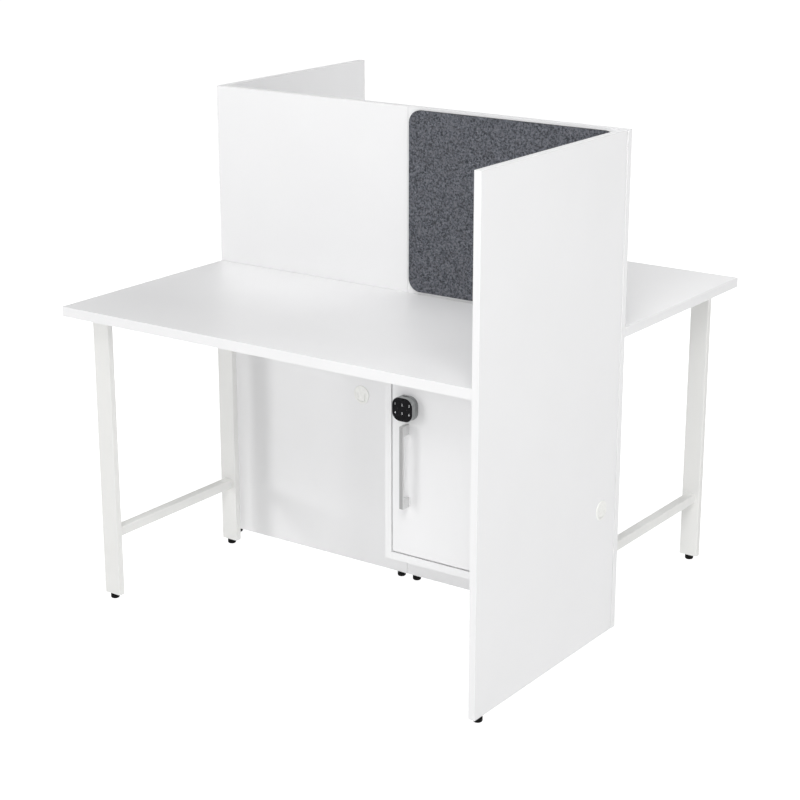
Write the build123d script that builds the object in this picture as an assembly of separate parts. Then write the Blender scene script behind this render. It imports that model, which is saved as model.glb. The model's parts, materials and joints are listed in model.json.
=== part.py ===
"""Back-to-back study carrel: two desks, a shared screen, a side panel and a locker for each reader.

The frame has its origin on the floor at the middle of the footprint, +Z up. The front reader sits at -Y.
Every function builds pieces of the front half; the back half is the same pieces turned 180 degrees about Z.
"""

from build123d import *
import os

# Boards
WIDTH = 1200.0
BOARD = 18.0
DESK_BOARD = 25.0
TOP_Z = 1222.5
DESK_Z = 762.5
FLOOR_GAP = 13.0
DESK_FRONT = 600.5
DESK_BACK_GAP = 1.0
SIDE_FRONT = 610.0
SIDE_INSET = 1.5
SEAM = 0.5
ARRIS = 0.8
DESK_ARRIS = 1.0
LOCKER_ARRIS = 0.6

# Leg frame
LEG_W = 50.0
LEG_D = 18.0
LEG_WALL = 1.5
LEG_CORNER = 2.5
LEG_INSET = 42.3
FRAME_LENGTH = 476.0
STRETCHER_W = 25.0
STRETCHER_H = 25.0
STRETCHER_Z = 174.0
RAIL_T = 5.0

# Levelling feet
FOOT_R = 11.0
FOOT_EDGE = 4.0
FOOT_TOP_EDGE = 1.0
STUD_R = 4.0
STUD_TOP = 38.0
BORE_R = 4.1
INSERT_R = 6.0
INSERT_TOP = 40.0
PLUG_H = 20.0
CLEAR = 0.3
SIDE_FOOT_Y = -584.0
SEAM_FOOT_X = -24.0
END_FOOT_X = -572.0

# Acoustic panel
FELT_T = 9.0
FELT_MARGIN_X = 8.0
FELT_TOP_GAP = 6.5
FELT_BOTTOM_GAP = 7.5
FELT_CORNER = 32.0
FELT_EDGE = 1.5

# Locker
LOCKER_FRONT = 409.0
LOCKER_LEFT = 216.0
LOCKER_BOTTOM = 241.5
LOCKER_BACK_T = 8.0
DOOR_GAP = 3.0

# Door hinges
HINGE_AXIS_OUT = 3.9
KNUCKLE_R = 3.5
PIN_R = 1.45
PIN_BORE_R = 1.5
LEAF_T = 1.1
LEAF_W = 16.0
LEAF_H = 60.0
HINGE_FROM_END = 90.0

# Handle and lock
HARDWARE_FROM_EDGE = 42.6
HANDLE_Z = 480.5
HANDLE_LENGTH = 197.5
HANDLE_OUT = 26.5
HANDLE_W = 10.0
HANDLE_BAR = 5.0
HANDLE_FOOT = 23.0
HANDLE_GAP_CORNER = 4.0
LOCK_Z = 618.7
LOCK_SIZE = 57.0
LOCK_CORNER = 21.0
LOCK_BASE_T = 4.0
LOCK_OUT = 22.0
SLOT_HALF_W = 9.0
SLOT_FRONT = 6.4
SLOT_BACK = 1.4
SLOT_DEPTH = 3.0
SPINDLE_R = 5.0
SPINDLE_END_R = 4.0
BARREL_R = 9.5
CAM_GAP = 2.5
CAM_T = 3.0
CAM_REACH = 38.0
CAM_W = 12.0
NUT_T = 3.5
NUT_HALF_W = 6.5
STRIKE_T = 1.4
STRIKE_H = 16.0
STRIKE_DEPTH = 26.0
STRIKE_REACH = 15.0
STRIKE_CLEAR = 0.4

# Cable grommets
CAP_R = 23.75
CAP_T = 2.2
HOLE_R = 20.5
SLEEVE_R = 20.4
SLEEVE_BORE_R = 18.6
TONGUE_W = 20.0
TONGUE_R = 17.0
TONGUE_TOP = 3.0
SLIT = 1.2
CAP_BEVEL = 1.2
CAP_RIM = 4.0
CAP_DISH = 0.6
SCREEN_GROMMET_X = -143.0
SCREEN_GROMMET_Z = 472.0
SIDE_GROMMET_Y = -75.0
SIDE_GROMMET_Z = 337.5

# Fasteners
SCREW_R = 2.25
SCREW_HEAD_R = 4.5
SCREW_HEAD_T = 2.2
SCREW_LENGTH = 14.0
LONG_SCREW = 30.0
SOCKET_R = 1.6
SOCKET_DEPTH = 1.0
FIT = 0.05
RAIL_SCREW_X = 14.0
RAIL_SCREW_Y = 180.0
LOCKER_SCREW_Y = (-340.0, -130.0)
LOCKER_SCREW_Z = (310.0, 670.0)
DOWEL_R = 4.0
DOWEL_IN_FACE = 12.0
DOWEL_IN_EDGE = 24.0
DOWEL_HEIGHTS = (110.0, 400.0, 690.0, 900.0, 1130.0)
BRACKET_LEG = 45.0
BRACKET_W = 40.0
BRACKET_T = 3.0
BRACKET_SCREW = 29.0
BRACKET_ON_SCREEN_X = (-450.0, 90.0)
BRACKET_ON_SIDE_Y = -520.0

# Places that follow from the sizes above
SCREEN_FACE = -BOARD / 2
SIDE_OUT = WIDTH / 2 - SIDE_INSET
SIDE_IN = SIDE_OUT - BOARD
SIDE_MID = SIDE_OUT - BOARD / 2
DESK_UNDER = DESK_Z - DESK_BOARD
DESK_BACK = SCREEN_FACE - DESK_BACK_GAP
LEG_X = -WIDTH / 2 + LEG_INSET + LEG_W / 2
DESK_MID_Y = (DESK_BACK - DESK_FRONT) / 2
OUTER_LEG_Y = DESK_MID_Y - FRAME_LENGTH / 2 + LEG_D / 2
INNER_LEG_Y = DESK_MID_Y + FRAME_LENGTH / 2 - LEG_D / 2
BETWEEN_LEGS = FRAME_LENGTH - 2 * LEG_D
CASE_LEFT = LOCKER_LEFT + BOARD
CASE_RIGHT = SIDE_IN - BOARD
CASE_FLOOR = LOCKER_BOTTOM + BOARD
CASE_CEILING = DESK_UNDER - BOARD
DOOR_LEFT = CASE_LEFT + DOOR_GAP
DOOR_RIGHT = CASE_RIGHT - DOOR_GAP
DOOR_BOTTOM = CASE_FLOOR + DOOR_GAP
DOOR_TOP = CASE_CEILING - DOOR_GAP
DOOR_BACK = -LOCKER_FRONT + BOARD
HARDWARE_X = DOOR_LEFT + HARDWARE_FROM_EDGE
HINGE_X = (DOOR_RIGHT + CASE_RIGHT) / 2
HINGE_Y = -LOCKER_FRONT - HINGE_AXIS_OUT
HINGE_HEIGHTS = (DOOR_BOTTOM + HINGE_FROM_END, DOOR_TOP - HINGE_FROM_END)
CAM_Y = DOOR_BACK + CAM_GAP


def block(x, y, z, arris=0.0):
    """A box between two corners, given as (low, high) on each axis, with its edges eased."""
    size = [high - low for low, high in (x, y, z)]
    middle = [(high + low) / 2 for low, high in (x, y, z)]
    box = Pos(*middle) * Box(*size)
    return fillet(box.edges(), arris) if arris else box


def rod(start, direction, radius, length):
    """A round bar from a start point along a direction."""
    return extrude(Plane(start, z_dir=direction) * Circle(radius), length)


def facing_reader(x, z, y):
    """The plane that looks at the front reader, with its own X and Y along +X and +Z."""
    return Plane((x, y, z), x_dir=(1, 0, 0), z_dir=(0, -1, 0))


def facing_right(y, z, x):
    """The plane that looks out to the right, with its own X and Y along +Y and +Z."""
    return Plane((x, y, z), x_dir=(0, 1, 0), z_dir=(1, 0, 0))


# Where the fasteners go: each is a point on the seat of its head and the direction it drives in.

def bracket_seats():
    """The three desk brackets: the corner point, and the direction from the wall to the free end."""
    on_screen = [((x, SCREEN_FACE, DESK_UNDER), (0, -1, 0)) for x in BRACKET_ON_SCREEN_X]
    on_side = [((SIDE_IN, BRACKET_ON_SIDE_Y, DESK_UNDER), (-1, 0, 0))]
    return on_screen + on_side


def bracket_screws():
    places = []
    for corner, out in bracket_seats():
        corner, out = Vector(corner), Vector(out)
        along = Vector(0, 0, 1).cross(out)
        for side in (-BRACKET_W / 4, BRACKET_W / 4):
            under = corner + out * BRACKET_SCREW + along * side - Vector(0, 0, BRACKET_T)
            wall = corner + out * BRACKET_T + along * side - Vector(0, 0, BRACKET_SCREW)
            places.append((under, Vector(0, 0, 1)))
            places.append((wall, out * -1))
    return places


def rail_screws():
    z = DESK_UNDER - RAIL_T
    spots = [(dx, dy) for dx in (-RAIL_SCREW_X, RAIL_SCREW_X) for dy in (-RAIL_SCREW_Y, RAIL_SCREW_Y)]
    return [(Vector(LEG_X + dx, DESK_MID_Y + dy, z), Vector(0, 0, 1)) for dx, dy in spots]


def locker_screws():
    spots = [(y, z) for y in LOCKER_SCREW_Y for z in LOCKER_SCREW_Z]
    return [(Vector(CASE_RIGHT, y, z), Vector(1, 0, 0)) for y, z in spots]


def screw(seat, direction, length=SCREW_LENGTH):
    head_plane = Plane(seat, z_dir=direction * -1)
    head = extrude(head_plane * Circle(SCREW_HEAD_R), SCREW_HEAD_T)
    head = fillet(head.edges().group_by(Axis(seat, direction * -1))[-1], SCREW_HEAD_T * 0.6)
    socket_plane = head_plane.offset(SCREW_HEAD_T - SOCKET_DEPTH)
    socket = extrude(socket_plane * RegularPolygon(SOCKET_R, 6), 2 * SOCKET_DEPTH)
    return head - socket + rod(seat, direction, SCREW_R, length)


def screw_holes(places, length=SCREW_LENGTH):
    return [rod(seat, direction, SCREW_R + FIT, length + CLEAR) for seat, direction in places]


def dowel_places():
    """Dowels from the screen into the side panel's back edge, and across the seam of the two screens."""
    into_side = [((SIDE_MID, SCREEN_FACE + DOWEL_IN_FACE, z), (0, -1, 0)) for z in DOWEL_HEIGHTS]
    across = [((-DOWEL_IN_EDGE, 0, z), (1, 0, 0)) for z in DOWEL_HEIGHTS]
    return into_side, across


def dowels():
    into_side, across = dowel_places()
    reach = DOWEL_IN_FACE + DOWEL_IN_EDGE
    pieces = [rod(start, way, DOWEL_R - FIT, reach) for start, way in into_side]
    return pieces, [rod(start, way, DOWEL_R - FIT, 2 * DOWEL_IN_EDGE) for start, way in across]


def dowel_holes():
    into_side, across = dowel_places()
    reach = DOWEL_IN_FACE + DOWEL_IN_EDGE
    holes = [rod(start, way, DOWEL_R, reach) for start, way in into_side]
    return holes, [rod(start, way, DOWEL_R, 2 * DOWEL_IN_EDGE) for start, way in across]


# Boards

def screen_board():
    board = block((-WIDTH / 2, -SEAM / 2), (-BOARD / 2, BOARD / 2), (FLOOR_GAP, TOP_Z), ARRIS)
    board -= rod((SCREEN_GROMMET_X, -BOARD, SCREEN_GROMMET_Z), (0, 1, 0), HOLE_R, 2 * BOARD)
    into_side, across = dowel_holes()
    wall_screws = [place for place in bracket_screws() if place[1].Y > 0.5]
    own = screw_holes([place for place in wall_screws if place[0].X < 0])
    other_half = screw_holes([place for place in wall_screws if place[0].X > 0]) + into_side
    return board - own - turned(other_half, 180) - across - insert_holes(screen_feet())


def side_panel():
    board = block((SIDE_IN, SIDE_OUT), (-SIDE_FRONT, SCREEN_FACE), (FLOOR_GAP, TOP_Z), ARRIS)
    board -= rod((SIDE_IN - 1, SIDE_GROMMET_Y, SIDE_GROMMET_Z), (1, 0, 0), HOLE_R, 2 * BOARD)
    wall_screws = [place for place in bracket_screws() if place[1].X > 0.5]
    board -= screw_holes(wall_screws) + screw_holes(locker_screws(), LONG_SCREW)
    return board - dowel_holes()[0] - insert_holes(side_feet())


def desk_top():
    board = block((-WIDTH / 2, SIDE_IN), (-DESK_FRONT, DESK_BACK), (DESK_UNDER, DESK_Z), DESK_ARRIS)
    under = [place for place in bracket_screws() if place[1].Z > 0.5]
    return board - screw_holes(under + rail_screws())


def acoustic_panel():
    low_x, high_x = FELT_MARGIN_X, SIDE_IN - FELT_MARGIN_X
    low_z, high_z = DESK_Z + FELT_BOTTOM_GAP, TOP_Z - FELT_TOP_GAP
    face = facing_reader((low_x + high_x) / 2, (low_z + high_z) / 2, SCREEN_FACE)
    panel = extrude(face * RectangleRounded(high_x - low_x, high_z - low_z, FELT_CORNER), FELT_T)
    return fillet(panel.edges().group_by(Axis.Y)[0], FELT_EDGE)


# Leg frame

def tube(plane, width, depth, length, corner=LEG_CORNER, wall=LEG_WALL):
    outer = extrude(plane * RectangleRounded(width, depth, corner), length)
    inner = extrude(plane * RectangleRounded(width - 2 * wall, depth - 2 * wall, corner - wall), length)
    return outer - inner


def leg(y):
    return tube(Plane((LEG_X, y, FLOOR_GAP)), LEG_W, LEG_D, DESK_UNDER - FLOOR_GAP)


def leg_stretcher():
    start = Plane((LEG_X, OUTER_LEG_Y + LEG_D / 2, STRETCHER_Z), x_dir=(1, 0, 0), z_dir=(0, 1, 0))
    return tube(start, STRETCHER_W, STRETCHER_H, BETWEEN_LEGS)


def leg_top_rail():
    low = OUTER_LEG_Y + LEG_D / 2
    bar = block(
        (LEG_X - LEG_W / 2, LEG_X + LEG_W / 2), (low, low + BETWEEN_LEGS), (DESK_UNDER - RAIL_T, DESK_UNDER)
    )
    return bar - screw_holes(rail_screws())


def leg_end_plug(y):
    width, depth = LEG_W - 2 * LEG_WALL, LEG_D - 2 * LEG_WALL
    outline = RectangleRounded(width, depth, LEG_CORNER - LEG_WALL)
    plug = extrude(Plane((LEG_X, y, FLOOR_GAP)) * outline, PLUG_H)
    return plug - rod((LEG_X, y, FLOOR_GAP - 1), (0, 0, 1), BORE_R, PLUG_H + 2)


# Levelling feet

def screen_feet():
    return [(END_FOOT_X, 0.0), (SEAM_FOOT_X, 0.0)]


def side_feet():
    return [(SIDE_MID, SIDE_FOOT_Y)]


def levelling_foot(x, y):
    pad = Pos(x, y, 0) * extrude(Circle(FOOT_R), FLOOR_GAP - CLEAR)
    pad = fillet(pad.edges().group_by(Axis.Z)[0], FOOT_EDGE)
    pad = fillet(pad.edges().group_by(Axis.Z)[-1], FOOT_TOP_EDGE)
    return pad + rod((x, y, FLOOR_GAP - 1), (0, 0, 1), STUD_R, STUD_TOP - FLOOR_GAP + 1)


def insert_holes(feet):
    return [rod((x, y, 0), (0, 0, 1), INSERT_R, INSERT_TOP) for x, y in feet]


def insert(x, y):
    sleeve = rod((x, y, FLOOR_GAP), (0, 0, 1), INSERT_R - FIT, INSERT_TOP - FLOOR_GAP)
    return sleeve - rod((x, y, 0), (0, 0, 1), BORE_R, TOP_Z)


# Locker

def locker_board(x, y, z):
    return block(x, y, z, LOCKER_ARRIS)


def locker_left_side():
    return locker_board((LOCKER_LEFT, CASE_LEFT), (-LOCKER_FRONT, SCREEN_FACE), (LOCKER_BOTTOM, DESK_UNDER))


def locker_right_side():
    side = locker_board((CASE_RIGHT, SIDE_IN), (-LOCKER_FRONT, SCREEN_FACE), (LOCKER_BOTTOM, DESK_UNDER))
    side -= rod((CASE_RIGHT - 1, SIDE_GROMMET_Y, SIDE_GROMMET_Z), (1, 0, 0), HOLE_R, 2 * BOARD)
    return side - screw_holes(locker_screws(), LONG_SCREW)


def locker_shelf(low):
    return locker_board((CASE_LEFT, CASE_RIGHT), (-LOCKER_FRONT, SCREEN_FACE), (low, low + BOARD))


def locker_back():
    depth = (SCREEN_FACE - LOCKER_BACK_T, SCREEN_FACE)
    return block((CASE_LEFT, CASE_RIGHT), depth, (CASE_FLOOR, CASE_CEILING))


def locker_door():
    door = block((DOOR_LEFT, DOOR_RIGHT), (-LOCKER_FRONT, DOOR_BACK), (DOOR_BOTTOM, DOOR_TOP), ARRIS)
    return door - rod((HARDWARE_X, -LOCKER_FRONT - 1, LOCK_Z), (0, 1, 0), BARREL_R + FIT, BOARD + 2)


# Hinges: the leaves fold together in the gap beside the door, the knuckles stand in front of it.

def hinge_leaf(z, x_low, x_high, knuckles):
    bottom = z - LEAF_H / 2
    reach = (HINGE_Y + 1.0, -LOCKER_FRONT + LEAF_W)
    plate = block((x_low, x_high), (-LOCKER_FRONT, reach[1]), (bottom, bottom + LEAF_H))
    for low, high in knuckles:
        plate += block((x_low, x_high), reach, (bottom + low, bottom + high))
        plate += rod((HINGE_X, HINGE_Y, bottom + low), (0, 0, 1), KNUCKLE_R, high - low)
    return plate - rod((HINGE_X, HINGE_Y, bottom - 1), (0, 0, 1), PIN_BORE_R, LEAF_H + 2)


def hinge_frame_leaf(z):
    third = LEAF_H / 3
    return hinge_leaf(z, CASE_RIGHT - LEAF_T, CASE_RIGHT, [(0, third - CLEAR), (2 * third + CLEAR, LEAF_H)])


def hinge_door_leaf(z):
    third = LEAF_H / 3
    return hinge_leaf(z, DOOR_RIGHT, DOOR_RIGHT + LEAF_T, [(third, 2 * third)])


def hinge_pin(z):
    bottom = z - LEAF_H / 2
    pin = rod((HINGE_X, HINGE_Y, bottom), (0, 0, 1), PIN_R, LEAF_H)
    for end, way in ((bottom, -1), (bottom + LEAF_H, 1)):
        knob = rod((HINGE_X, HINGE_Y, end), (0, 0, way), KNUCKLE_R - 0.5, 2.0)
        outer = knob.edges().group_by(Axis.Z)[0 if way < 0 else -1]
        pin += fillet(outer, 1.2)
    return pin


# Handle and lock

def door_handle():
    face = facing_right(-LOCKER_FRONT - HANDLE_OUT / 2, HANDLE_Z, HARDWARE_X - HANDLE_W / 2)
    gap_size = 2 * (HANDLE_OUT - HANDLE_BAR), HANDLE_LENGTH - 2 * HANDLE_FOOT
    gap = RectangleRounded(*gap_size, HANDLE_GAP_CORNER)
    profile = Rectangle(HANDLE_OUT, HANDLE_LENGTH) - Pos(HANDLE_OUT / 2, 0) * gap
    handle = extrude(face * profile, HANDLE_W)
    front = handle.faces().sort_by(Axis.Y)[0]
    return fillet(front.edges(), 0.7)


def squircle(size):
    return RectangleRounded(size, size, LOCK_CORNER * size / LOCK_SIZE)


def lock_base():
    face = facing_reader(HARDWARE_X, LOCK_Z, -LOCKER_FRONT)
    plate = extrude(face * squircle(LOCK_SIZE), LOCK_BASE_T)
    plate = fillet(plate.edges().group_by(Axis.Y)[0], 0.6)
    seat = (HARDWARE_X, -LOCKER_FRONT - 1, LOCK_Z)
    barrel = rod(seat, (0, 1, 0), BARREL_R, BOARD + 1)
    outside = (HARDWARE_X, -LOCKER_FRONT - LOCK_OUT, LOCK_Z)
    bore = rod(outside, (0, 1, 0), SPINDLE_R + 2 * FIT, LOCK_OUT + BOARD + 1)
    return plate + barrel - bore


def lock_keypad():
    """The squared round knob that carries the keypad, with the spindle that turns the cam."""
    back = -LOCKER_FRONT - LOCK_BASE_T - CLEAR
    depth = LOCK_OUT - LOCK_BASE_T - CLEAR
    face = facing_reader(HARDWARE_X, LOCK_Z, back)
    knob = extrude(face * squircle(LOCK_SIZE - 0.6), depth)
    knob = fillet(knob.edges().group_by(Axis.Y)[0], 1.2)
    knob = fillet(knob.edges().group_by(Axis.Y)[-1], 0.5)
    slot_x = (HARDWARE_X - SLOT_HALF_W, HARDWARE_X + SLOT_HALF_W)
    slot_bottom = LOCK_Z + LOCK_SIZE / 2 - SLOT_DEPTH
    knob -= block(slot_x, (back - SLOT_FRONT, back - SLOT_BACK), (slot_bottom, TOP_Z))
    start = (HARDWARE_X, back - 1, LOCK_Z)
    spindle = rod(start, (0, 1, 0), SPINDLE_R, CAM_Y - back + 1)
    tail = rod((HARDWARE_X, CAM_Y, LOCK_Z), (0, 1, 0), SPINDLE_END_R, CAM_T + NUT_T + 1)
    return knob + spindle + tail


def lock_cam():
    """The latch bar, hanging straight down while the door is unlocked, and the nut that holds it."""
    face = facing_reader(HARDWARE_X, LOCK_Z, CAM_Y + CAM_T)
    arm = Pos(0, -CAM_REACH / 2 + CAM_W / 4) * Rectangle(CAM_W, CAM_REACH - CAM_W / 2)
    tip = Pos(0, -CAM_REACH + CAM_W / 2) * Circle(CAM_W / 2)
    bar = extrude(face * (Circle(BARREL_R) + arm + tip), CAM_T)
    nut_face = facing_reader(HARDWARE_X, LOCK_Z, CAM_Y + CAM_T + NUT_T)
    nut = extrude(nut_face * RegularPolygon(NUT_HALF_W, 6, major_radius=False), NUT_T)
    hole = rod((HARDWARE_X, CAM_Y - 1, LOCK_Z), (0, 1, 0), SPINDLE_END_R, CAM_T + NUT_T + 2)
    return [bar - hole, nut - hole]


def lock_strike():
    """The catch on the locker's left wall; its tab stands between the door and the turned latch bar."""
    tab_y = CAM_Y - STRIKE_CLEAR - STRIKE_T
    height = (LOCK_Z - STRIKE_H / 2, LOCK_Z + STRIKE_H / 2)
    wall = block((CASE_LEFT, CASE_LEFT + STRIKE_T), (tab_y, tab_y + STRIKE_DEPTH), height)
    return wall + block((CASE_LEFT, CASE_LEFT + STRIKE_REACH), (tab_y, tab_y + STRIKE_T), height)


# Cable grommets

def tongue(width, radius, top):
    """A tongue that hangs from a straight top and ends in an arc about the middle of the cap."""
    strip = Pos(0, (top - radius) / 2) * Rectangle(width, top + radius)
    return strip & Circle(radius)


def grommet(face):
    """A round cap with a U-shaped slit, on a sleeve that lines the hole behind it."""
    cap = extrude(face * Circle(CAP_R), CAP_T)
    outer_edge = cap.edges().sort_by(lambda edge: face.to_local_coords(edge.center()).Z)[-1]
    cap = chamfer(outer_edge, CAP_BEVEL)
    cap -= extrude(face.offset(CAP_T - CAP_DISH) * Circle(CAP_R - CAP_RIM), CAP_T)
    slit = tongue(TONGUE_W + 2 * SLIT, TONGUE_R + SLIT, TONGUE_TOP) - tongue(TONGUE_W, TONGUE_R, TONGUE_TOP)
    cap -= extrude(face.offset(-1) * slit, CAP_T + 2)
    sleeve = extrude(face * (Circle(SLEEVE_R) - Circle(SLEEVE_BORE_R)), -BOARD)
    return cap + sleeve


def screen_grommet():
    return grommet(facing_reader(SCREEN_GROMMET_X, SCREEN_GROMMET_Z, SCREEN_FACE))


def side_grommet():
    return grommet(facing_right(SIDE_GROMMET_Y, SIDE_GROMMET_Z, SIDE_OUT))


# Brackets

def desk_bracket(corner, out):
    """An angle bracket: one leg under the desk top along out, the other down the wall."""
    corner, out = Vector(corner), Vector(out)
    across = out.cross(Vector(0, 0, 1))
    profile = Plane(corner - across * (BRACKET_W / 2), x_dir=out, z_dir=across)
    under = Pos(BRACKET_LEG / 2, -BRACKET_T / 2) * Rectangle(BRACKET_LEG, BRACKET_T)
    wall = Pos(BRACKET_T / 2, -BRACKET_LEG / 2) * Rectangle(BRACKET_T, BRACKET_LEG)
    return extrude(profile * (under + wall), BRACKET_W) - screw_holes(bracket_screws())


def fasteners():
    short = [screw(seat, direction) for seat, direction in bracket_screws() + rail_screws()]
    return short + [screw(seat, direction, LONG_SCREW) for seat, direction in locker_screws()]


# Export

def write(node, solids):
    solids = solids if isinstance(solids, list) else [solids]
    shape = solids[0] if len(solids) == 1 else Compound(children=solids)
    export_step(shape, f"parts/{node}.step")


def turned(solids, angle):
    solids = solids if isinstance(solids, list) else [solids]
    return [Rot(0, 0, angle) * solid for solid in solids]


def half():
    """Every node that each reader's half has of its own."""
    nodes = {
        "screen_board": screen_board(),
        "side_panel": side_panel(),
        "desk_top": desk_top(),
        "acoustic_panel": acoustic_panel(),
        "outer_leg": leg(OUTER_LEG_Y),
        "inner_leg": leg(INNER_LEG_Y),
        "leg_stretcher": leg_stretcher(),
        "leg_top_rail": leg_top_rail(),
        "locker_left_side": locker_left_side(),
        "locker_right_side": locker_right_side(),
        "locker_bottom": locker_shelf(LOCKER_BOTTOM),
        "locker_top": locker_shelf(CASE_CEILING),
        "locker_back": locker_back(),
        "locker_door": locker_door(),
        "door_handle": door_handle(),
        "door_hinge_leaves": [hinge_door_leaf(z) for z in HINGE_HEIGHTS],
        "lock_base": lock_base(),
        "lock_keypad": lock_keypad(),
        "lock_cam": lock_cam(),
        "screen_grommet": screen_grommet(),
        "side_grommet": side_grommet(),
        "outer_leg_foot": levelling_foot(LEG_X, OUTER_LEG_Y),
        "inner_leg_foot": levelling_foot(LEG_X, INNER_LEG_Y),
        "side_panel_foot": levelling_foot(*side_feet()[0]),
        "screen_end_foot": levelling_foot(*screen_feet()[0]),
        "screen_seam_foot": levelling_foot(*screen_feet()[1]),
    }
    return nodes


def shared():
    """Identical hardware of the whole carrel, given for one half and repeated for the other."""
    into_side, across = dowels()
    return {
        "leg_end_plugs": [leg_end_plug(y) for y in (OUTER_LEG_Y, INNER_LEG_Y)],
        "levelling_inserts": [insert(x, y) for x, y in screen_feet() + side_feet()],
        "locker_hinge_leaves": [hinge_frame_leaf(z) for z in HINGE_HEIGHTS],
        "hinge_pins": [hinge_pin(z) for z in HINGE_HEIGHTS],
        "lock_strikes": [lock_strike()],
        "desk_brackets": [desk_bracket(corner, out) for corner, out in bracket_seats()],
        "assembly_screws": fasteners(),
        "panel_dowels": into_side,
    }, across


os.makedirs("parts", exist_ok=True)
for name, solids in half().items():
    write(f"front_{name}", turned(solids, 0))
    write(f"back_{name}", turned(solids, 180))
hardware, seam_dowels = shared()
for name, solids in hardware.items():
    once = seam_dowels if name == "panel_dowels" else []
    write(name, turned(solids, 0) + turned(solids, 180) + once)
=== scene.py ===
"""The looks of the study carrel: materials, felt panels, lock faces, small fixings, light and camera.

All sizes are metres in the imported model's frame: +Z up, the front reader at -Y. Pieces are made for the
front half and repeated for the back half, which is the front half turned 180 degrees about Z.
"""

import json
import math
import random

import bmesh
import bpy
from mathutils import Matrix, Vector, noise


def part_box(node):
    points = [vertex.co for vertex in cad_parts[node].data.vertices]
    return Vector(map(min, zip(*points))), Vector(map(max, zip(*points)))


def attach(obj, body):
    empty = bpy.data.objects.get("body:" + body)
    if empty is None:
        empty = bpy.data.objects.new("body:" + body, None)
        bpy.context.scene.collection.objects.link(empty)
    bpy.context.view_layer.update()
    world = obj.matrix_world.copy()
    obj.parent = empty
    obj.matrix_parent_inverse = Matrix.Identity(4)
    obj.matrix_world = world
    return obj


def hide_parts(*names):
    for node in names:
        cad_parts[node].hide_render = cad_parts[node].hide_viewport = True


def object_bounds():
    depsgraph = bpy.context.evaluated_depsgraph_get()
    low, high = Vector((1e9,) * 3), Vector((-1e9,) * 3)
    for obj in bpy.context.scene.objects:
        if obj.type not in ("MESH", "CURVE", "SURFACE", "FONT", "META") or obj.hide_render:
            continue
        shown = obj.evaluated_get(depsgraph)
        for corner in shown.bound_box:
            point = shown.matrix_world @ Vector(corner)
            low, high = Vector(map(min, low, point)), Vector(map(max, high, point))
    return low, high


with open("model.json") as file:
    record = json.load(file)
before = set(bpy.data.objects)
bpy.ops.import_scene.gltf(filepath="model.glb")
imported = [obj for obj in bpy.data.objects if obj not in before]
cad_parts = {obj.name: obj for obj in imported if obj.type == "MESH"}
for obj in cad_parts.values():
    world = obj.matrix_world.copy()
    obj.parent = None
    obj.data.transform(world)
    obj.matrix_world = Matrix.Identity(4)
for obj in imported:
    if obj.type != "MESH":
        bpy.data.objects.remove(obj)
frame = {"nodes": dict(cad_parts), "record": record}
cad_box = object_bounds()

MM = 0.001
HALVES = (("front", 0.0), ("back", math.pi))

# Colours, linear
WHITE_BOARD = (0.875, 0.875, 0.880)
WHITE_PAINT = (0.830, 0.830, 0.812)
WHITE_PLASTIC = (0.930, 0.930, 0.905)
BLACK_PLASTIC = (0.003, 0.003, 0.003)
SILVER_BACK = (0.280, 0.290, 0.290)
SILVER_FRONT = (0.345, 0.356, 0.356)
# Painted highlight for the lock's rim
SILVER_RIM_HIGHLIGHT = (0.430, 0.440, 0.442)
SILVER_LINE = (0.120, 0.124, 0.124)
# Handle aluminium: a lit copy for the sides and a darker copy for the front face, which is painted light
# and shade
ALUMINIUM_SIDE_LIT = (0.700, 0.700, 0.698)
ALUMINIUM_FRONT_SHADED = (0.390, 0.390, 0.392)
STEEL = (0.560, 0.560, 0.570)
BEECH_LIGHT = (0.560, 0.370, 0.215)
BEECH_DARK = (0.380, 0.225, 0.115)
FELT_DARK = (0.029, 0.032, 0.038)
FELT_LIGHT = (0.150, 0.157, 0.180)
FELT_PALE = (0.400, 0.415, 0.470)
FELT_WARM = (0.104, 0.098, 0.104)
FELT_SIDE_DARK = (0.028, 0.029, 0.032)
GLASS_BLACK = (0.004, 0.004, 0.005)
DIGIT_LIGHT = (0.640, 0.650, 0.665)
LAMP_DARK = (0.040, 0.030, 0.030)
BAND_SHADOW = (0.300, 0.300, 0.300)
GLOW_WHITE = (1.0, 1.0, 1.0)

# Boards
BAND_DEPTH = 1.0 * MM
BAND_SEAM = 0.45 * MM
SEAM_SHADE = 0.25

# Felt panel: set back a little from the CAD panel's face, which leaves room for the fibres that lie on it
FELT_SET_BACK = 0.3 * MM
FELT_EDGE = 1.6 * MM
FELT_CORNER = 32.0 * MM
FELT_STEP = 3.0 * MM
FIBRES = 900
FIBRE_POINTS = 6
FIBRE_STEP = (0.8 * MM, 1.8 * MM)
FIBRE_CURL = 0.7
FIBRE_RISE = 0.12 * MM
FIBRE_WIDTH = 0.14 * MM
FIBRE_PALER = 1.7

# Lock face, measured from the middle of the knob
GLASS_SIZE = 55.0 * MM
GLASS_CORNER = 20.1 * MM
GLASS_PROUD = 0.35 * MM
GLASS_SUNK = 0.5 * MM
GLASS_EDGE = 0.3 * MM
GLASS_STEP = 2.5 * MM
DIGIT_PITCH = 19.1 * MM
DIGIT_ROWS = (11.4 * MM, -8.9 * MM)
DIGIT_HEIGHT = 5.4 * MM
DIGIT_PROUD = 0.02 * MM
DIGIT_THICK = 0.03 * MM
DIGIT_BOLDER = 0.05 * MM
DIGIT_GLOW = 0.25
FONT_CAPITAL = 0.7
LAMP_OFFSET = 13.0 * MM
LAMP_UP = 1.5 * MM
LAMP_RADIUS = 0.8 * MM
LAMP_PROUD = 0.06 * MM
LAMP_GLOW = 0.2
FRONT_RING = 12.0 * MM
RING_BLEND = 0.1 * MM
RING_LINE = (0.2 * MM, 0.45 * MM)

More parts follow.
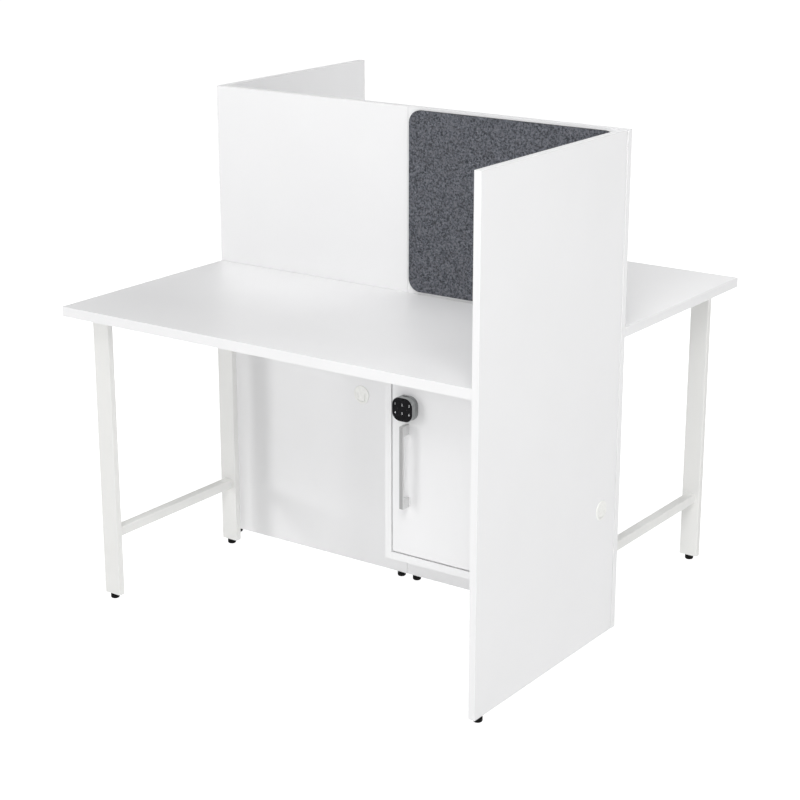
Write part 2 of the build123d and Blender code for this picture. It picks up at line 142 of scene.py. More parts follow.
# Slot for emergency power in the top of the knob, from the back of the knob and from its top
KNOB_CLEAR = 0.3 * MM
SLOT_WIDTH = 18.0 * MM
SLOT_NEAR = 6.4 * MM
SLOT_FAR = 1.4 * MM
SLOT_DEPTH = 2.7 * MM

# The slot's liner, and its two contacts, whose heights are from the slot's floor
TRAY_CLEAR = 0.1 * MM
TRAY_WALL = 0.5 * MM
TRAY_CORNER = 0.8 * MM
TRAY_INNER_CORNER = 0.4 * MM
TRAY_LIFT = 0.05 * MM
TRAY_TOP = -0.2 * MM
CONTACT_APART = 9.0 * MM
CONTACT_RADIUS = 1.5 * MM
CONTACT_FOOT = 0.5 * MM
CONTACT_TOP = 1.35 * MM

# Handle screws and the weld beads round the stretcher
HANDLE_FOOT = 10.0 * MM
SCREW_RADIUS = 4.2 * MM
SCREW_RISE = 2.0 * MM
SCREW_RIM = 0.25
SCREW_DOME = (0.3, 0.6, 0.9, 1.1)
SOCKET_REACH = 0.42
SOCKET_FLOOR = 0.3
TUBE_CORNER = 3.0 * MM
WELD_RADIUS = 1.3 * MM
WELD_STEP = 1.0 * MM
WELD_RIPPLE = 0.08
WELD_RIPPLE_TURN = 2.2
WELD_SIDES = 8

# Camera: its place round the object, and the point that it looks at from the middle of the CAD box
CAMERA_AZIMUTH = 35.15
CAMERA_ELEVATION = 17.394
CAMERA_DISTANCE = 4.842
CAMERA_AIM = Vector((0.0013, -0.0439, -0.1187))
CAMERA_LENS = 87.246
CAMERA_SENSOR = 36.0

# Light: each softbox has a name, azimuth, elevation, distance, size and power
SOFTBOXES = (
    ("key", -42.0, 12.0, 9.0, 2.6, 178.0),
    ("front_fill", 20.0, 30.0, 5.0, 2.5, 34.0),
    ("low_fill", 35.0, 20.0, 5.0, 2.5, 12.0),
    ("high_fill", 35.0, 45.0, 5.0, 2.5, 95.0),
    ("right_fill", 90.0, 20.0, 5.0, 3.0, 60.0),
    ("left_fill", -90.0, 50.0, 5.0, 3.0, 60.0),
    ("overhead", 0.0, 85.0, 4.0, 3.0, 28.0),
    ("back_fill", 180.0, 35.0, 5.0, 3.0, 86.0),
)
SKY_LIGHT = 0.03
SKY_SEEN = 1.05

# Floor: it glows as light on the object, and looks near white; further out it melts into the surround
FLOOR_TONE = (0.5, 0.5, 0.5)
FLOOR_GLOW = 0.585
FLOOR_SEEN = 0.86
FLOOR_MELT = (1.1, 2.6)
FLOOR_REACH = 40.0
FLOOR_DROP = 0.2 * MM


# Materials

class Surface:
    """A Principled material, and short ways to feed it with procedural patterns."""

    def __init__(self, name, roughness=0.5, metallic=0.0, specular=0.5):
        self.material = bpy.data.materials.new(name)
        self.material.use_nodes = True
        self.tree = self.material.node_tree
        self.shader = self.tree.nodes["Principled BSDF"]
        self.place = self.add("ShaderNodeTexCoord").outputs["Object"]
        self.feed(self.shader.inputs["Roughness"], roughness)
        self.feed(self.shader.inputs["Metallic"], metallic)
        self.feed(self.shader.inputs["Specular IOR Level"], specular)

    def add(self, kind, **settings):
        node = self.tree.nodes.new(kind)
        for key, value in settings.items():
            setattr(node, key, value)
        return node

    def feed(self, socket, source):
        """Sets a socket to a number or colour, or links it to another node's output."""
        if isinstance(source, bpy.types.NodeSocket):
            self.tree.links.new(source, socket)
        elif isinstance(source, (tuple, list)) and socket.type == "RGBA":
            socket.default_value = (*source, 1.0)
        else:
            socket.default_value = source

    def maths(self, operation, a, b=0.0):
        node = self.add("ShaderNodeMath", operation=operation)
        self.feed(node.inputs[0], a)
        self.feed(node.inputs[1], b)
        return node.outputs[0]

    def vector_maths(self, operation, a, b):
        node = self.add("ShaderNodeVectorMath", operation=operation)
        self.feed(node.inputs[0], a)
        self.feed(node.inputs[1], b)
        return node.outputs[0]

    def parts(self, vector):
        node = self.add("ShaderNodeSeparateXYZ")
        self.feed(node.inputs[0], vector)
        return node.outputs

    def span(self, value, low, high, to_low=0.0, to_high=1.0):
        """Maps low..high to to_low..to_high, and stays inside those."""
        node = self.add("ShaderNodeMapRange")
        for socket, number in zip(node.inputs, (value, low, high, to_low, to_high)):
            self.feed(socket, number)
        return node.outputs[0]

    def noise(self, size, detail=2.0, stretch=(1.0, 1.0, 1.0), distortion=0.0):
        """Noise with features of about that size; stretch makes them longer along an axis."""
        node = self.add("ShaderNodeTexNoise")
        scaled = self.vector_maths("DIVIDE", self.place, stretch)
        self.feed(node.inputs["Vector"], scaled)
        self.feed(node.inputs["Scale"], 1.0 / size)
        self.feed(node.inputs["Detail"], detail)
        self.feed(node.inputs["Distortion"], distortion)
        return node.outputs["Fac"]

    def facing_reader(self):
        """1 where the surface faces one of the readers, with the object at rest; 0 where it is side-on."""
        normal = self.add("ShaderNodeTexCoord").outputs["Normal"]
        return self.maths("ABSOLUTE", self.parts(normal)[1])

    def grey(self, value):
        node = self.add("ShaderNodeCombineColor")
        for socket in node.inputs[:3]:
            self.feed(socket, value)
        return node.outputs[0]

    def mix(self, amount, a, b, blend="MIX"):
        node = self.add("ShaderNodeMix", data_type="RGBA", blend_type=blend)
        self.feed(node.inputs["Factor"], amount)
        self.feed(node.inputs[6], a)
        self.feed(node.inputs[7], b)
        return node.outputs[2]

    def bump(self, height, depth):
        node = self.add("ShaderNodeBump")
        self.feed(node.inputs["Height"], height)
        self.feed(node.inputs["Distance"], depth)
        self.feed(self.shader.inputs["Normal"], node.outputs["Normal"])

    def colour(self, source):
        self.feed(self.shader.inputs["Base Color"], source)

    def roughness(self, source):
        self.feed(self.shader.inputs["Roughness"], source)


def darker(colour, share):
    """A colour with each channel at a share of its value; a share over 1 makes it paler."""
    return tuple(share * channel for channel in colour)


def board_surface(node):
    """White melamine with a fine pearl grain, and the seam of the edge band just inside each edge."""
    surface = Surface(f"laminate_{node}", specular=0.42)
    low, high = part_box(node)
    size = high - low
    thin = min(range(3), key=lambda axis: size[axis])
    from_middle = surface.vector_maths("SUBTRACT", surface.place, tuple((low + high) / 2))
    reach = surface.add("ShaderNodeVectorMath", operation="ABSOLUTE")
    surface.feed(reach.inputs[0], from_middle)
    inside = surface.parts(surface.vector_maths("SUBTRACT", tuple(size / 2), reach.outputs[0]))
    in_plane = [inside[axis] for axis in range(3) if axis != thin]
    from_edge = surface.maths("MINIMUM", *in_plane)
    off_seam = surface.maths("ABSOLUTE", surface.maths("SUBTRACT", from_edge, BAND_DEPTH))
    seam = surface.span(off_seam, BAND_SEAM * 0.5, BAND_SEAM, 1.0, 0.0)
    on_face = surface.span(inside[thin], 0.2 * MM, 0.5 * MM, 1.0, 0.0)
    seam = surface.maths("MULTIPLY", seam, on_face)
    cloud = surface.span(surface.noise(0.16, 3.0), 0.3, 0.7)
    speck = surface.span(surface.noise(1.4 * MM, 2.0), 0.35, 0.65)
    tone = surface.mix(cloud, WHITE_BOARD, darker(WHITE_BOARD, 0.985))
    tone = surface.mix(surface.maths("MULTIPLY", speck, 0.35), tone, darker(WHITE_BOARD, 0.975))
    surface.colour(surface.mix(surface.maths("MULTIPLY", seam, SEAM_SHADE), tone, BAND_SHADOW))
    surface.roughness(surface.span(surface.noise(0.8 * MM, 2.0), 0.3, 0.7, 0.38, 0.50))
    grain = surface.noise(0.9 * MM, 3.0)
    surface.bump(surface.maths("SUBTRACT", grain, surface.maths("MULTIPLY", seam, 2.0)), 0.012 * MM)
    return surface.material


def painted_steel():
    """White powder coat: satin, with a faint orange-peel skin."""
    surface = Surface("white_powder_coat", specular=0.5)
    cloud = surface.span(surface.noise(0.09, 2.0), 0.3, 0.7)
    speck = surface.span(surface.noise(0.7 * MM, 1.0), 0.55, 0.75)
    tone = surface.mix(cloud, WHITE_PAINT, darker(WHITE_PAINT, 0.985))
    surface.colour(surface.mix(surface.maths("MULTIPLY", speck, 0.4), tone, darker(WHITE_PAINT, 0.95)))
    surface.roughness(surface.span(surface.noise(1.5 * MM), 0.3, 0.7, 0.33, 0.46))
    surface.bump(surface.noise(1.3 * MM, 2.0), 0.03 * MM)
    return surface.material


def moulded_plastic(name, tone, grain, depth, roughness, specular):
    """Moulded plastic with a spark-eroded grain."""
    surface = Surface(name, specular=specular)
    pits = surface.noise(grain, 3.0)
    cloud = surface.span(surface.noise(12 * grain, 2.0), 0.3, 0.7)
    surface.colour(surface.mix(cloud, tone, darker(tone, 0.93)))
    surface.roughness(surface.span(pits, 0.3, 0.7, roughness, roughness + 0.14))
    surface.bump(pits, depth)
    return surface.material


def silver_paint():
    """Silver lacquer with a fine flake: a parting line behind a paler front ring, and a bright rim, which
    is a painted highlight.
    """
    surface = Surface("silver_lacquer", metallic=0.35, specular=0.5)
    front = abs(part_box("front_lock_keypad")[0].y)
    forward = surface.maths("ABSOLUTE", surface.parts(surface.place)[1])
    ring_edge = front - FRONT_RING
    ring = surface.span(forward, ring_edge - RING_BLEND, ring_edge + RING_BLEND)
    off_line = surface.maths("ABSOLUTE", surface.maths("SUBTRACT", forward, ring_edge))
    parting = surface.span(off_line, *RING_LINE)
    # Painted highlight: paler where the surface turns to look along Y, on the rim and front
    rim = surface.span(surface.facing_reader(), 0.55, 0.90)
    flake = surface.span(surface.noise(0.35 * MM, 1.0), 0.35, 0.65, 0.88, 1.12)
    tone = surface.mix(ring, SILVER_BACK, SILVER_FRONT)
    tone = surface.mix(parting, SILVER_LINE, tone)
    tone = surface.mix(rim, tone, SILVER_RIM_HIGHLIGHT)
    surface.colour(surface.mix(1.0, tone, surface.grey(flake), blend="MULTIPLY"))
    surface.roughness(surface.span(flake, 0.88, 1.12, 0.46, 0.34))
    surface.bump(flake, 0.006 * MM)
    return surface.material


def satin_aluminium():
    """Anodised aluminium, brushed along its length; the front face is painted darker than the sides, as
    painted shade.
    """
    surface = Surface("satin_aluminium", metallic=0.25, specular=0.5)
    brush = surface.noise(0.5 * MM, 3.0, stretch=(1.0, 1.0, 60.0))
    # Painted shade: the faces that look along Y take the darker copy
    front = surface.span(surface.facing_reader(), 0.70, 0.98)
    tone = surface.mix(front, ALUMINIUM_SIDE_LIT, ALUMINIUM_FRONT_SHADED)
    streak = surface.span(brush, 0.35, 0.65, 0.93, 1.07)
    surface.colour(surface.mix(1.0, tone, surface.grey(streak), blend="MULTIPLY"))
    surface.roughness(surface.span(brush, 0.35, 0.65, 0.36, 0.48))
    surface.bump(brush, 0.01 * MM)
    return surface.material


def bright_steel():
    """Zinc-plated steel: cloudy plating with fine rolling lines."""
    surface = Surface("zinc_steel", metallic=1.0, specular=0.5)
    cloud = surface.span(surface.noise(5 * MM, 4.0, distortion=0.6), 0.35, 0.65)
    lines = surface.noise(0.25 * MM, 2.0, stretch=(1.0, 1.0, 25.0))
    surface.colour(surface.mix(cloud, STEEL, darker(STEEL, 0.80)))
    surface.roughness(surface.span(lines, 0.3, 0.7, 0.24, 0.42))
    surface.bump(lines, 0.008 * MM)
    return surface.material


def beech():
    """Pale straight-grained wood with short dark flecks."""
    surface = Surface("beech", specular=0.35)
    rings = surface.noise(1.2 * MM, 3.0, stretch=(12.0, 12.0, 1.0))
    fleck = surface.span(surface.noise(0.4 * MM, 1.0, stretch=(7.0, 7.0, 1.0)), 0.60, 0.72)
    tone = surface.mix(surface.span(rings, 0.3, 0.7), BEECH_LIGHT, BEECH_DARK)
    surface.colour(surface.mix(fleck, tone, darker(BEECH_DARK, 0.6)))
    surface.roughness(surface.span(rings, 0.3, 0.7, 0.55, 0.7))
    surface.bump(rings, 0.05 * MM)
    return surface.material


def fibre_bundles(surface, stretch):
    """Where bundles of fibres show in the felt; stretch says which way they run."""
    return surface.span(surface.noise(3.0 * MM, 1.0, stretch=stretch, distortion=1.2), 0.58, 0.72)


def felt_surface(name, lift=1.0):
    """Pressed melange felt: dark, middle and pale fibres matted together; the side-on edges are darker."""
    surface = Surface(name, roughness=0.95, specular=0.12)
    matted = surface.span(surface.noise(4.8 * MM, 2.0, distortion=0.5), 0.36, 0.64)
    lying = fibre_bundles(surface, (2.5, 1.0, 1.0))
    standing = fibre_bundles(surface, (1.0, 1.0, 2.5))
    patches = surface.span(surface.noise(20 * MM, 2.0), 0.35, 0.65)
    tint = surface.span(surface.noise(11 * MM, 1.0), 0.45, 0.65)
    tone = surface.mix(matted, darker(FELT_DARK, lift), darker(FELT_LIGHT, lift))
    tone = surface.mix(surface.maths("MULTIPLY", lying, 0.30), tone, darker(FELT_PALE, lift))
    tone = surface.mix(surface.maths("MULTIPLY", standing, 0.45), tone, darker(FELT_DARK, lift))
    tone = surface.mix(surface.maths("MULTIPLY", patches, 0.16), tone, darker(FELT_LIGHT, lift))
    tone = surface.mix(surface.maths("MULTIPLY", tint, 0.18), tone, darker(FELT_WARM, lift))
    # Darker where the surface turns side-on, along the panel's edges
    side_on = surface.span(surface.facing_reader(), 0.25, 0.75, 0.8, 0.0)
    surface.colour(surface.mix(side_on, tone, FELT_SIDE_DARK))
    nap = surface.noise(0.8 * MM, 4.0, distortion=1.0)
    surface.bump(surface.maths("ADD", nap, matted), 0.35 * MM)
    surface.feed(surface.shader.inputs["Sheen Weight"], 0.08)
    surface.feed(surface.shader.inputs["Sheen Roughness"], 0.6)
    return surface.material


def glass_surface():
    """Black keypad glass with the faintest smear in its polish."""
    surface = Surface("keypad_glass", specular=0.10)
    smear = surface.span(surface.noise(9 * MM, 3.0, distortion=0.8), 0.35, 0.65)
    surface.colour(surface.mix(smear, GLASS_BLACK, darker(GLASS_BLACK, 1.5)))
    surface.roughness(surface.span(smear, 0.0, 1.0, 0.20, 0.30))
    surface.bump(smear, 0.002 * MM)
    return surface.material


def lamp_surface(name, tone, strength):
    """A mark that glows faintly, a little unevenly over its face."""
    surface = Surface(name, roughness=0.4)
    uneven = surface.span(surface.noise(1.6 * MM, 1.0), 0.3, 0.7)
    shade = surface.mix(uneven, tone, darker(tone, 0.8))
    surface.colour(shade)
    surface.feed(surface.shader.inputs["Emission Color"], shade)
    surface.feed(surface.shader.inputs["Emission Strength"], strength)
    return surface.material


# Meshes

def rounded_corner(across, up, half_across, half_up, corner):
    """Moves a point of a rectangle so that the rectangle's square corners become round ones."""
    past_x = (abs(across) - half_across + corner) / corner
    past_z = (abs(up) - half_up + corner) / corner
    if past_x <= 0 or past_z <= 0:
        return across, up
    round_x = past_x * math.sqrt(1 - past_z**2 / 2)
    round_z = past_z * math.sqrt(1 - past_x**2 / 2)
    x = half_across - corner + corner * round_x
    z = half_up - corner + corner * round_z
    return math.copysign(x, across), math.copysign(z, up)


def from_outline(across, up, half_across, half_up, corner):
    """How far a point is inside a rounded rectangle's outline."""
    x = abs(across) - half_across + corner
    z = abs(up) - half_up + corner
    outside = math.hypot(max(x, 0), max(z, 0)) + min(max(x, z), 0)
    return corner - outside


def graded(half, edge, step):
    """Places from -half to half: close together near both ends, and about a step apart between."""
    edge_shares = (0.0, 0.08, 0.3, 0.65, 1.0, 1.6)
    near = [edge * share for share in edge_shares]
    inner = half - near[-1]
    count = max(2, round(2 * inner / step))
    middle = [-inner + 2 * inner * i / count for i in range(1, count)]
    return [-half + d for d in near] + middle + [half - d for d in reversed(near)]


def soft_slab(box, corner, edge, step, dent):
    """A slab that faces -Y, round at its corners and front edge; dent(x, z) pushes its front face in."""
    low, high = box
    middle = (low + high) / 2
    half = (high - low) / 2
    columns = graded(half.x, edge, step)
    rows = graded(half.z, edge, step)
    mesh = bmesh.new()
    grid = []
    for up in rows:
        line = []
        for across in columns:
            x, z = rounded_corner(across, up, half.x, half.z, corner)
            inside = min(max(from_outline(x, z, half.x, half.z, corner), 0.0), edge)
            fall = edge - math.sqrt(edge**2 - (edge - inside) ** 2)
            pushed = dent(x + middle.x, z + middle.z) * inside / edge
            line.append(mesh.verts.new((x + middle.x, low.y + fall + pushed, z + middle.z)))
        grid.append(line)
    for lower, upper in zip(grid, grid[1:]):
        for i in range(len(columns) - 1):
            mesh.faces.new((lower[i], lower[i + 1], upper[i + 1], upper[i]))
    rim = grid[0] + [line[-1] for line in grid[1:]]
    rim += grid[-1][-2::-1] + [line[0] for line in grid[-2:0:-1]]
    back = [mesh.verts.new((v.co.x, high.y, v.co.z)) for v in rim]
    for i in range(len(rim)):
        j = (i + 1) % len(rim)
        mesh.faces.new((rim[j], rim[i], back[i], back[j]))
    mesh.faces.new(list(reversed(back)))
    return mesh


def felt_dent(x, z):
    """The nap of the felt: shallow dents at the scale of its fibres, on a faint slow wave."""
    nap = noise.noise(Vector((x, z, 0.0)) / (5 * MM)) + 0.5 * noise.noise(Vector((x, z, 1.0)) / (2.4 * MM))
    wave = noise.noise(Vector((x, z, 2.0)) / (90 * MM))
    return 0.10 * MM * nap + 0.25 * MM * wave


def felt_panel():
    """The felt board, in place of the CAD's plain panel."""
    low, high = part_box("front_acoustic_panel")
    low = low + Vector((0, FELT_SET_BACK, 0))
    return soft_slab((low, high), FELT_CORNER, FELT_EDGE, FELT_STEP, felt_dent)


def ribbon(mesh, points, width, normal):
    """A flat strip along a line of points."""
    edges = []
    for i, point in enumerate(points):
        ahead = points[min(i + 1, len(points) - 1)] - points[max(i - 1, 0)]
        side = ahead.cross(normal).normalized() * width / 2
        edges.append((mesh.verts.new(point - side), mesh.verts.new(point + side)))
    for (a, b), (c, d) in zip(edges, edges[1:]):
        mesh.faces.new((a, b, d, c))


def felt_fibres():
    """Loose fibres that lie on the felt, each a thin curled strip."""
    low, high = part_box("front_acoustic_panel")
    draw = random.Random(11)
    margin = FELT_CORNER / 2
    mesh = bmesh.new()
    for _ in range(FIBRES):
        x = draw.uniform(low.x + margin, high.x - margin)
        z = draw.uniform(low.z + margin, high.z - margin)
        heading = draw.uniform(0, 2 * math.pi)
        curl = draw.uniform(-FIBRE_CURL, FIBRE_CURL)
        step = draw.uniform(*FIBRE_STEP)
        points = []
        for i in range(FIBRE_POINTS):
            rise = FIBRE_RISE * math.sin(math.pi * (i + 0.5) / FIBRE_POINTS)
            points.append(Vector((x, low.y + felt_dent(x, z) + FELT_SET_BACK - rise, z)))
            x += step * math.cos(heading)
            z += step * math.sin(heading)
            heading += curl
        ribbon(mesh, points, FIBRE_WIDTH, Vector((0, -1, 0)))
    return mesh


def stacked(loops):
    """A closed shell through a stack of equal closed loops of points."""
    mesh = bmesh.new()
    rings = [[mesh.verts.new(point) for point in loop] for loop in loops]
    for lower, upper in zip(rings, rings[1:]):
        for i in range(len(lower)):
            j = (i + 1) % len(lower)
            mesh.faces.new((lower[i], lower[j], upper[j], upper[i]))
    mesh.faces.new(list(reversed(rings[0])))
    mesh.faces.new(rings[-1])
    return mesh


def circle(radius, height, segments, shape=lambda angle: 1.0):
    """A loop round +Z; shape(angle) reshapes its radius."""
    loop = []
    for i in range(segments):
        angle = 2 * math.pi * i / segments
        reach = radius * shape(angle)
        loop.append(Vector((reach * math.cos(angle), reach * math.sin(angle), height)))
    return loop


def lathe(profile, segments=32):
    """A turned shape about +Z from (radius, height) pairs."""
    return stacked([circle(radius, height, segments) for radius, height in profile])


def rounded_loop(half_x, half_y, corner, height=0.0, steps=6):
    """A rectangle with round corners, as a loop of points round +Z."""
    loop = []
    for side_x, side_y, start in ((1, 1, 0.0), (-1, 1, 0.5), (-1, -1, 1.0), (1, -1, 1.5)):
        centre = Vector((side_x * (half_x - corner), side_y * (half_y - corner), height))
        for i in range(steps + 1):
            angle = math.pi * (start + 0.5 * i / steps)
            loop.append(centre + corner * Vector((math.cos(angle), math.sin(angle), 0)))
    return loop


def hexagon(angle):
    """The radius of a hexagon with corners at radius 1, along an angle."""
    turn = (angle + math.pi / 6) % (math.pi / 3) - math.pi / 6
    return math.cos(math.pi / 6) / math.cos(math.pi / 6 - abs(turn))


def joined(meshes):
    """One mesh from several, which are used up."""
    whole = bmesh.new()
    for mesh in meshes:
        part = bpy.data.meshes.new("part")
        mesh.to_mesh(part)
        mesh.free()
        whole.from_mesh(part)
        bpy.data.meshes.remove(part)
    return whole


def at(mesh, place, turn=Matrix.Identity(4)):
    """Turns a mesh about the origin, then moves it to a place."""
    mesh.transform(Matrix.Translation(place) @ turn)
    return mesh


# Turns that point a shape's +Z towards the front reader, or towards the screen
TO_READER = Matrix.Rotation(math.pi / 2, 4, "X")
TO_SCREEN = Matrix.Rotation(-math.pi / 2, 4, "X")


def lock_middle():
    """The middle of the knob's front face."""
    low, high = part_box("front_lock_keypad")
    return Vector(((low.x + high.x) / 2, low.y, (low.z + high.z) / 2))


def lock_glass():
    """The keypad's flat glass, let into the front of the knob."""
    middle = lock_middle()
    half = Vector((GLASS_SIZE / 2, 0, GLASS_SIZE / 2))
    front = middle - half - Vector((0, GLASS_PROUD, 0))
    back = middle + half + Vector((0, GLASS_SUNK, 0))
    return soft_slab((front, back), GLASS_CORNER, GLASS_EDGE, GLASS_STEP, lambda x, z: 0.0)


def number_mesh(text, height):
    """The outline of a number in the built-in font, middled on the origin, facing +Z."""
    curve = bpy.data.curves.new("number", "FONT")
    curve.body = text
    curve.size = height / FONT_CAPITAL
    curve.align_x = "CENTER"
    curve.align_y = "CENTER"
    curve.extrude = DIGIT_THICK
    curve.offset = DIGIT_BOLDER
    holder = bpy.data.objects.new("number", curve)
    bpy.context.scene.collection.objects.link(holder)
    bpy.context.view_layer.update()
    evaluated = holder.evaluated_get(bpy.context.evaluated_depsgraph_get())
    outline = bpy.data.meshes.new_from_object(evaluated)
    bpy.data.objects.remove(holder)
    mesh = bmesh.new()
    mesh.from_mesh(outline)
    xs = [v.co.x for v in mesh.verts]
    ys = [v.co.y for v in mesh.verts]
    to_middle = (-(min(xs) + max(xs)) / 2, -(min(ys) + max(ys)) / 2, 0)
    bmesh.ops.translate(mesh, verts=mesh.verts, vec=to_middle)
    return mesh


def lock_digits():
    """The numbers 1 to 6, in two rows of three."""
    middle = lock_middle() - Vector((0, GLASS_PROUD + DIGIT_PROUD, 0))
    marks = []
    for index in range(6):
        row, column = divmod(index, 3)
        place = middle + Vector(((column - 1) * DIGIT_PITCH, 0, DIGIT_ROWS[row]))
        marks.append(at(number_mesh(str(index + 1), DIGIT_HEIGHT), place, TO_READER))
    return joined(marks)


def lock_lamps():
    """Two small signal lamps on the glass, between the rows."""
    middle = lock_middle() - Vector((0, GLASS_PROUD, -LAMP_UP))
    profile = [(LAMP_RADIUS, 0.0), (LAMP_RADIUS, LAMP_PROUD / 2), (0.75 * LAMP_RADIUS, LAMP_PROUD)]
    places = [middle + Vector((x, 0, 0)) for x in (-LAMP_OFFSET, LAMP_OFFSET)]
    return joined([at(lathe(profile, 16), place, TO_READER) for place in places])


def slot_middle():
    """The middle of the emergency power slot's mouth, in the top of the knob."""
    low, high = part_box("front_lock_keypad")
    knob_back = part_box("front_lock_base")[0].y - KNOB_CLEAR
    return Vector(((low.x + high.x) / 2, knob_back - (SLOT_NEAR + SLOT_FAR) / 2, high.z))


def contact_tray():
    """The dark liner of the emergency power slot: an open tray a little below the slot's mouth."""
    half_x = SLOT_WIDTH / 2 - TRAY_CLEAR
    half_y = (SLOT_NEAR - SLOT_FAR) / 2 - TRAY_CLEAR
    floor = TRAY_LIFT - SLOT_DEPTH
    outside = [rounded_loop(half_x, half_y, TRAY_CORNER, height) for height in (floor, TRAY_TOP)]
    inside = [
        rounded_loop(half_x - TRAY_WALL, half_y - TRAY_WALL, TRAY_INNER_CORNER, height)
        for height in (TRAY_TOP, floor + TRAY_WALL)
    ]
    return at(stacked(outside + inside), slot_middle())


def contact_pins():
    """The two domed contacts on the floor of the slot."""
    profile = [
        (CONTACT_RADIUS, CONTACT_FOOT),
        (CONTACT_RADIUS, CONTACT_TOP - 0.45 * MM),
        (CONTACT_RADIUS - 0.3 * MM, CONTACT_TOP - 0.15 * MM),
        (CONTACT_RADIUS - 1.0 * MM, CONTACT_TOP),
    ]
    base = slot_middle() - Vector((0, 0, SLOT_DEPTH))
    places = [base + Vector((x, 0, 0)) for x in (-CONTACT_APART / 2, CONTACT_APART / 2)]
    return joined([at(lathe(profile, 20), place) for place in places])


def screw_head(radius, rise):
    """A domed screw head with a hexagon socket, on the XY plane."""
    segments = 36
    loops = [circle(radius, 0.0, segments), circle(radius, SCREW_RIM * rise, segments)]
    for angle in SCREW_DOME:
        height = rise * (SCREW_RIM + (1 - SCREW_RIM) * math.sin(angle))
        loops.append(circle(radius * math.cos(angle), height, segments))
    for height in (rise, SOCKET_FLOOR * rise):
        loops.append(circle(SOCKET_REACH * radius, height, segments, hexagon))
    return stacked(loops)


def handle_screws():
    """The two screw heads inside the door that hold the handle."""
    low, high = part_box("front_door_handle")
    door_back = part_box("front_locker_door")[1].y
    x = (low.x + high.x) / 2
    places = [Vector((x, door_back, z)) for z in (low.z + HANDLE_FOOT, high.z - HANDLE_FOOT)]
    return joined([at(screw_head(SCREW_RADIUS, SCREW_RISE), place, TO_SCREEN) for place in places])


def weld_bead(middle, half_x, half_z, radius):
    """A bead of weld round a rectangular tube that runs along Y: a closed ring with a faint ripple."""
    path = [Vector((point.x, 0, point.y)) for point in rounded_loop(half_x, half_z, TUBE_CORNER)]
    fine = []
    for a, b in zip(path, path[1:] + path[:1]):
        count = max(1, round((b - a).length / WELD_STEP))
        fine += [a.lerp(b, i / count) for i in range(count)]
    mesh = bmesh.new()
    rings = []
    for index, point in enumerate(fine):
        ahead = (fine[(index + 1) % len(fine)] - fine[index - 1]).normalized()
        outward = ahead.cross(Vector((0, 1, 0)))
        size = radius * (1 + WELD_RIPPLE * math.sin(WELD_RIPPLE_TURN * index))
        ring = []
        for i in range(WELD_SIDES):
            angle = 2 * math.pi * i / WELD_SIDES
            offset = outward * math.cos(angle) + Vector((0, 1, 0)) * math.sin(angle)
            ring.append(mesh.verts.new(middle + point + offset * size))
        rings.append(ring)
    for index, ring in enumerate(rings):
        following = rings[(index + 1) % len(rings)]
        for i in range(WELD_SIDES):
            j = (i + 1) % WELD_SIDES
            mesh.faces.new((ring[i], ring[j], following[j], following[i]))
    return mesh


def frame_welds():
    """The beads where the stretcher meets both legs."""
    low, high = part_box("front_leg_stretcher")
    middle = (low + high) / 2
    half = (high - low) / 2
    ends = [Vector((middle.x, y, middle.z)) for y in (low.y, high.y)]
    return joined([weld_bead(end, half.x, half.z, WELD_RADIUS) for end in ends])


def add_piece(name, mesh, turn, body, material, smooth=True):
    """Makes an object from a mesh of the front half, turned into place, and lets it ride on a body."""
    mesh.transform(Matrix.Rotation(turn, 4, "Z"))
    bmesh.ops.recalc_face_normals(mesh, faces=mesh.faces)
    data = bpy.data.meshes.new(name)
    mesh.to_mesh(data)
    mesh.free()
    data.materials.append(material)
    data.polygons.foreach_set("use_smooth", [smooth] * len(data.polygons))
    piece = bpy.data.objects.new(name, data)
    bpy.context.scene.collection.objects.link(piece)
    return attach(piece, body)


# The carried-over CAD nodes

def paint(node, material):
    """Gives a CAD node one material."""
    data = frame["nodes"][node].data
    data.materials.clear()
    data.materials.append(material)


def paint_nodes():
    """Gives every CAD node the material of its slot; each board has its own, for its edge bands."""
    slots = {part["node"]: part["material_slot"] for part in frame["record"]["subparts"]}
    shared = {
        "white_steel": painted_steel(),
        "white_plastic": moulded_plastic("white_plastic", WHITE_PLASTIC, 0.5 * MM, 0.02 * MM, 0.42, 0.45),
        "black_plastic": moulded_plastic("black_plastic", BLACK_PLASTIC, 0.6 * MM, 0.04 * MM, 0.50, 0.12),
        "silver_metal": silver_paint(),
        "satin_aluminium": satin_aluminium(),
        "bright_steel": bright_steel(),
        "beech": beech(),
        "grey_felt": felt_surface("grey_felt"),
    }
    for node, slot in slots.items():
        paint(node, board_surface(node) if slot == "white_laminate" else shared[slot])
    return shared


def add_pieces(shared):
    """Makes the pieces that the CAD leaves out, for both halves."""
    fibre = felt_surface("felt_fibres", FIBRE_PALER)
    glass = glass_surface()
    digits = lamp_surface("keypad_digits", DIGIT_LIGHT, DIGIT_GLOW)
    lamps = lamp_surface("signal_lamps", LAMP_DARK, LAMP_GLOW)
    black = shared["black_plastic"]
    steel = shared["bright_steel"]
    for half, turn in HALVES:
        panel = add_piece(f"{half}_felt_panel", felt_panel(), turn, "carcass", shared["grey_felt"])
        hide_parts(f"{half}_acoustic_panel")
        fibres = add_piece(f"{half}_felt_fibres", felt_fibres(), turn, "carcass", fibre)
        knob = f"{half}_lock_knob"
        add_piece(f"{half}_lock_glass", lock_glass(), turn, knob, glass)
        add_piece(f"{half}_lock_digits", lock_digits(), turn, knob, digits, smooth=False)
        add_piece(f"{half}_lock_lamps", lock_lamps(), turn, knob, lamps)
        tray = add_piece(f"{half}_lock_contact_tray", contact_tray(), turn, knob, black, smooth=False)
        pins = add_piece(f"{half}_lock_contact_pins", contact_pins(), turn, knob, steel)
        screws = add_piece(f"{half}_handle_screws", handle_screws(), turn, f"{half}_door", steel)
        welds = add_piece(f"{half}_frame_welds", frame_welds(), turn, "carcass", shared["white_steel"])


# Stage, light and camera

